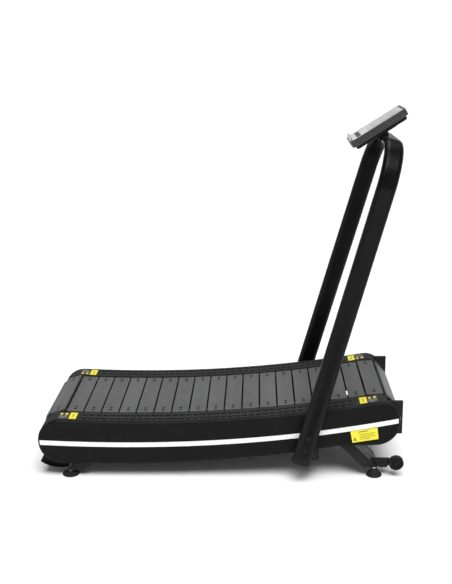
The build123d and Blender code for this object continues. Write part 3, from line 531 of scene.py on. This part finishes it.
# Marks on each kind of patch: start and end along it, then start and end across it from the belt side.
YELLOW_MARKS = (
    (0.36, 0.64, 0.28, 0.36, INK_VINYL),
    (0.44, 0.56, 0.36, 0.58, INK_VINYL),
    (0.36, 0.64, 0.66, 0.74, INK_VINYL),
)
DARK_MARKS = (
    (0.10, 0.36, 0.14, 0.36, YELLOW_VINYL),
    (0.60, 0.88, 0.14, 0.36, YELLOW_VINYL),
    (0.10, 0.42, 0.52, 0.60, PALE_INK),
    (0.55, 0.90, 0.52, 0.60, PALE_INK),
    (0.10, 0.90, 0.72, 0.78, PALE_INK),
    (0.10, 0.64, 0.88, 0.93, PALE_INK),
)
PATCH_INNER, PATCH_OUTER = 0.243, 0.312
PATCH_WIDTH = PATCH_OUTER - PATCH_INNER


def rail_film(film_name, side_name, side, along, across, vinyl):
    """A film on top of a rail, over a range of x and of distance from the middle plane."""
    grid = quad_grid(rectangle(along, across), 4, 4)
    return draped(f"{film_name}_{side_name}", f"foot_rail_{side_name}", grid, above(side), (0, 0, -1),
                  vinyl)


for side_name, side in SIDES:
    for patch_name, start_x, end_x, vinyl in RAIL_PATCHES:
        rail_film(f"rail_{patch_name}", side_name, side, (start_x, end_x), (PATCH_INNER, PATCH_OUTER), vinyl)
        marks = YELLOW_MARKS if vinyl == YELLOW_VINYL else DARK_MARKS
        for number, (u0, u1, v0, v1, ink) in enumerate(marks, start=1):
            length = end_x - start_x
            along = (start_x + length * u0, start_x + length * u1)
            across = (PATCH_INNER + PATCH_WIDTH * v0, PATCH_INNER + PATCH_WIDTH * v1)
            mark = rail_film(f"rail_{patch_name}_mark_{number}", side_name, side, along, across, ink)
            mark.data.transform(Matrix.Translation((0, 0, PRINT_LIFT / 2)))


# Display window on the console's face: a plain grey panel with rows of bars in place of readings.
panel_low, panel_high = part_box("console_screen")
panel_centre = (panel_low + panel_high) / 2
slope = Vector((cos(CONSOLE_TILT), 0.0, sin(CONSOLE_TILT)))
panel_up = Vector((-sin(CONSOLE_TILT), 0.0, cos(CONSOLE_TILT)))
PANEL_RAY_START = 0.1


def over_panel(point):
    """Rays start above the console's face, at a point given as (up the slope, across)."""
    return panel_centre + slope * point[0] + Vector((0.0, point[1], 0.0)) + panel_up * PANEL_RAY_START


def panel_film(film_name, along, across, vinyl):
    """A film on the console's face, over a range up the slope and one across it."""
    grid = quad_grid(rectangle(along, across), 3, 3)
    return draped(film_name, "console_screen", grid, over_panel, -panel_up, vinyl)


DISPLAY_ALONG, DISPLAY_ACROSS = (-0.045, 0.105), (-0.070, 0.070)
BAR_ROWS, BAR_MARGIN, BAR_PLACE = 3, 0.03, 0.035
BAR_HALF_HEIGHT, BAR_HALF_LENGTH = 0.010, 0.018
panel_film("console_display", DISPLAY_ALONG, DISPLAY_ACROSS, DISPLAY_FILM)
row_places = np.linspace(DISPLAY_ALONG[0] + BAR_MARGIN, DISPLAY_ALONG[1] - BAR_MARGIN, BAR_ROWS)
for row, along in enumerate(row_places, start=1):
    for column, across in (("right", -BAR_PLACE), ("left", BAR_PLACE)):
        bar_along = (along - BAR_HALF_HEIGHT, along + BAR_HALF_HEIGHT)
        bar_across = (across - BAR_HALF_LENGTH, across + BAR_HALF_LENGTH)
        bar = panel_film(f"console_display_bar_{row}_{column}", bar_along, bar_across, DISPLAY_BARS)
        bar.data.transform(Matrix.Translation(panel_up * PRINT_LIFT / 2))


# ---- studio ----
FLOOR_HALF = 20.0
FLOOR_WHITE = (0.93, 0.93, 0.93, 1.0)
floor_shader = Shader("floor_white", roughness=0.9, specular=0.1)
floor_shader.set("Base Color", FLOOR_WHITE)
floor_edge = (-FLOOR_HALF, FLOOR_HALF)
floor_corners = [(x, y, 0.0) for x, y in rectangle(floor_edge, floor_edge)]
floor_mesh = bpy.data.meshes.new("floor")
floor_mesh.from_pydata(floor_corners, [], [(0, 1, 2, 3)])
floor_mesh.materials.append(floor_shader.material)
floor = bpy.data.objects.new("floor", floor_mesh)
bpy.context.scene.collection.objects.link(floor)

# A white horizon under a dimmer ceiling, so that dark surfaces stay dark. It fades between two heights.
HORIZON_GLOW, CEILING_GLOW = 1.05, 0.16
FADE_START, FADE_END = 0.08, 0.32
world = bpy.data.worlds.new("studio")
world.use_nodes = True
sky = world.node_tree
direction = sky.nodes.new("ShaderNodeTexCoord").outputs["Generated"]
split = sky.nodes.new("ShaderNodeSeparateXYZ")
sky.links.new(direction, split.inputs[0])
fall = sky.nodes.new("ShaderNodeMapRange")
sky.links.new(split.outputs["Z"], fall.inputs["Value"])
for socket, number in zip(fall.inputs[1:5], (FADE_START, FADE_END, HORIZON_GLOW, CEILING_GLOW)):
    socket.default_value = number
backdrop = sky.nodes["Background"]
backdrop.inputs["Color"].default_value = (1.0, 1.0, 1.0, 1.0)
sky.links.new(fall.outputs[0], backdrop.inputs["Strength"])
bpy.context.scene.world = world
bpy.context.scene.view_settings.view_transform = "Standard"


def aimed(data, location, target):
    """Put a light in the scene and turn it towards a point."""
    light = bpy.data.objects.new(data.name, data)
    light.location = location
    light.rotation_euler = (Vector(target) - Vector(location)).to_track_quat("-Z", "Y").to_euler()
    bpy.context.scene.collection.objects.link(light)


def softbox(name, location, target, width, height, power):
    """A rectangular area light aimed at a point."""
    data = bpy.data.lights.new(name, "AREA")
    data.shape = "RECTANGLE"
    data.size, data.size_y = width, height
    data.energy = power
    aimed(data, location, target)


SUN_PLACE, SUN_STRENGTH, SUN_SPREAD = (0.3, -1.7, 4.0), 3.3, radians(42)
sun = bpy.data.lights.new("overhead_sky", "SUN")
sun.energy = SUN_STRENGTH
sun.angle = SUN_SPREAD
aimed(sun, SUN_PLACE, (0.0, 0.0, 0.0))

# Name, place, target, width, height and watts.
SOFTBOXES = (
    ("top_strip", (0.78, 0.7, 3.0), (0.72, -0.2, 1.35), 1.1, 1.1, 12.0),
    ("left_key", (-3.2, -2.4, 2.4), (0.0, 0.0, 0.5), 1.8, 2.4, 5.0),
    ("right_fill", (3.4, -2.0, 2.2), (0.2, 0.0, 0.5), 1.8, 2.4, 4.0),
)
for settings in SOFTBOXES:
    softbox(*settings)

# ---- camera ----
CAMERA_PLACE = Vector((0.172658, -4.156745, 1.922730))
PITCH, YAW, ROLL = radians(15.539), radians(-2.0612), radians(-0.72885)
FOCAL_PIXELS, IMAGE_WIDTH, SENSOR = 940.0, 452.0, 36.0
VIEW_DISTANCE = 100.0
forward = Vector((sin(YAW) * cos(PITCH), cos(YAW) * cos(PITCH), -sin(PITCH)))
level_right = forward.cross(Vector((0, 0, 1))).normalized()
level_up = level_right.cross(forward)
right = level_right * cos(ROLL) + level_up * sin(ROLL)
up = level_up * cos(ROLL) - level_right * sin(ROLL)

camera_data = bpy.data.cameras.new("camera")
camera_data.sensor_fit = "HORIZONTAL"
camera_data.sensor_width = SENSOR
camera_data.lens = FOCAL_PIXELS * SENSOR / IMAGE_WIDTH
camera_data.clip_end = VIEW_DISTANCE
camera = bpy.data.objects.new("camera", camera_data)
rotation = Matrix((right, up, -forward)).transposed().to_4x4()
camera.matrix_world = Matrix.Translation(CAMERA_PLACE) @ rotation
bpy.context.scene.collection.objects.link(camera)
bpy.context.scene.camera = camera
